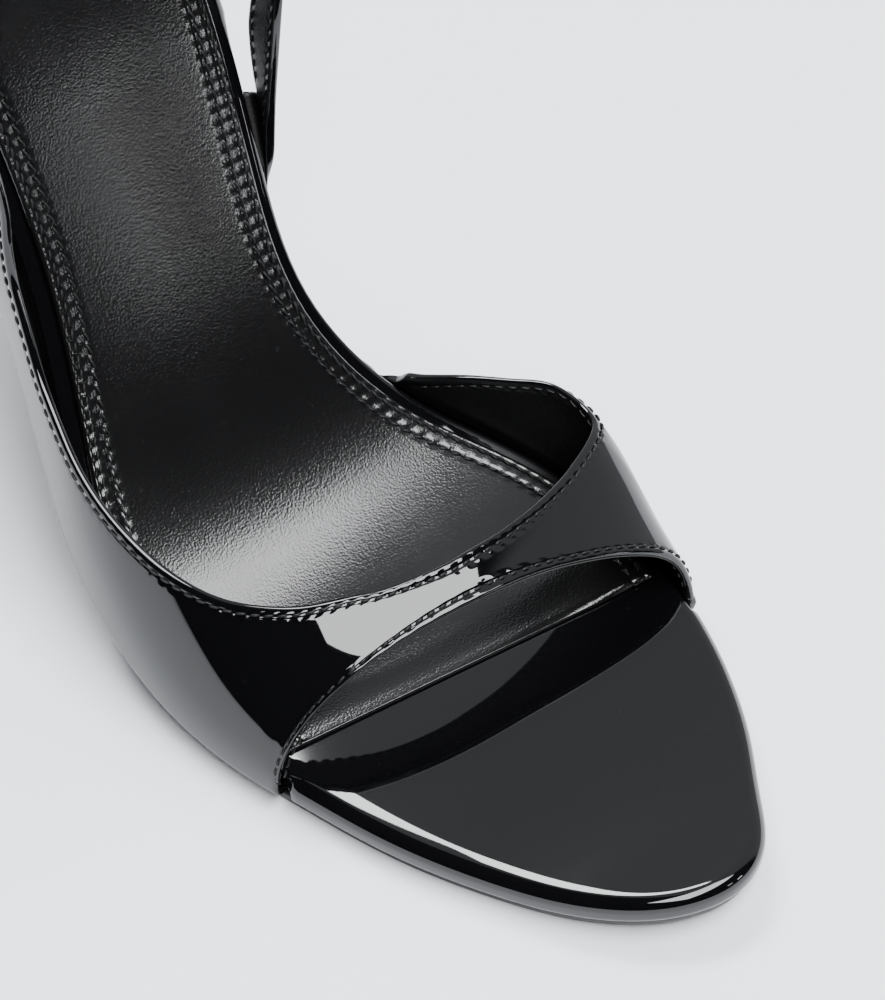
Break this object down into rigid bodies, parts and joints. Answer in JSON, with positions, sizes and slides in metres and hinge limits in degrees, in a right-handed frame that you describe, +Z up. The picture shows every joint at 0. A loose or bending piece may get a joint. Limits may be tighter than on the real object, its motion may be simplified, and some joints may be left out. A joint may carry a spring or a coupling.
{
  "type": "slingback sandal",
  "caption": "High heeled slingback sandal with an open pointed toe, a draped band over the toes and a sling round the heel.",
  "frame": {"origin": "middle of the shoe's plan, on the floor it stands on", "axes": "+Y from the toe to the heel, +X to the inner side of the foot, +Z up"},
  "size_m": [0.0758, 0.2072, 0.1599],
  "materials": {
    "patent_leather": "black patent, high gloss",
    "nappa_leather": "fine grained, satin",
    "sole_leather": "dyed, polished",
    "tip_rubber": "matt"
  },
  "bodies": {
    "root": {"outsole": "sole_leather", "footbed": "patent_leather", "sock": "nappa_leather", "upper": "patent_leather", "heel": "patent_leather", "heel_tip": "tip_rubber"}
  },
  "joints": []
}
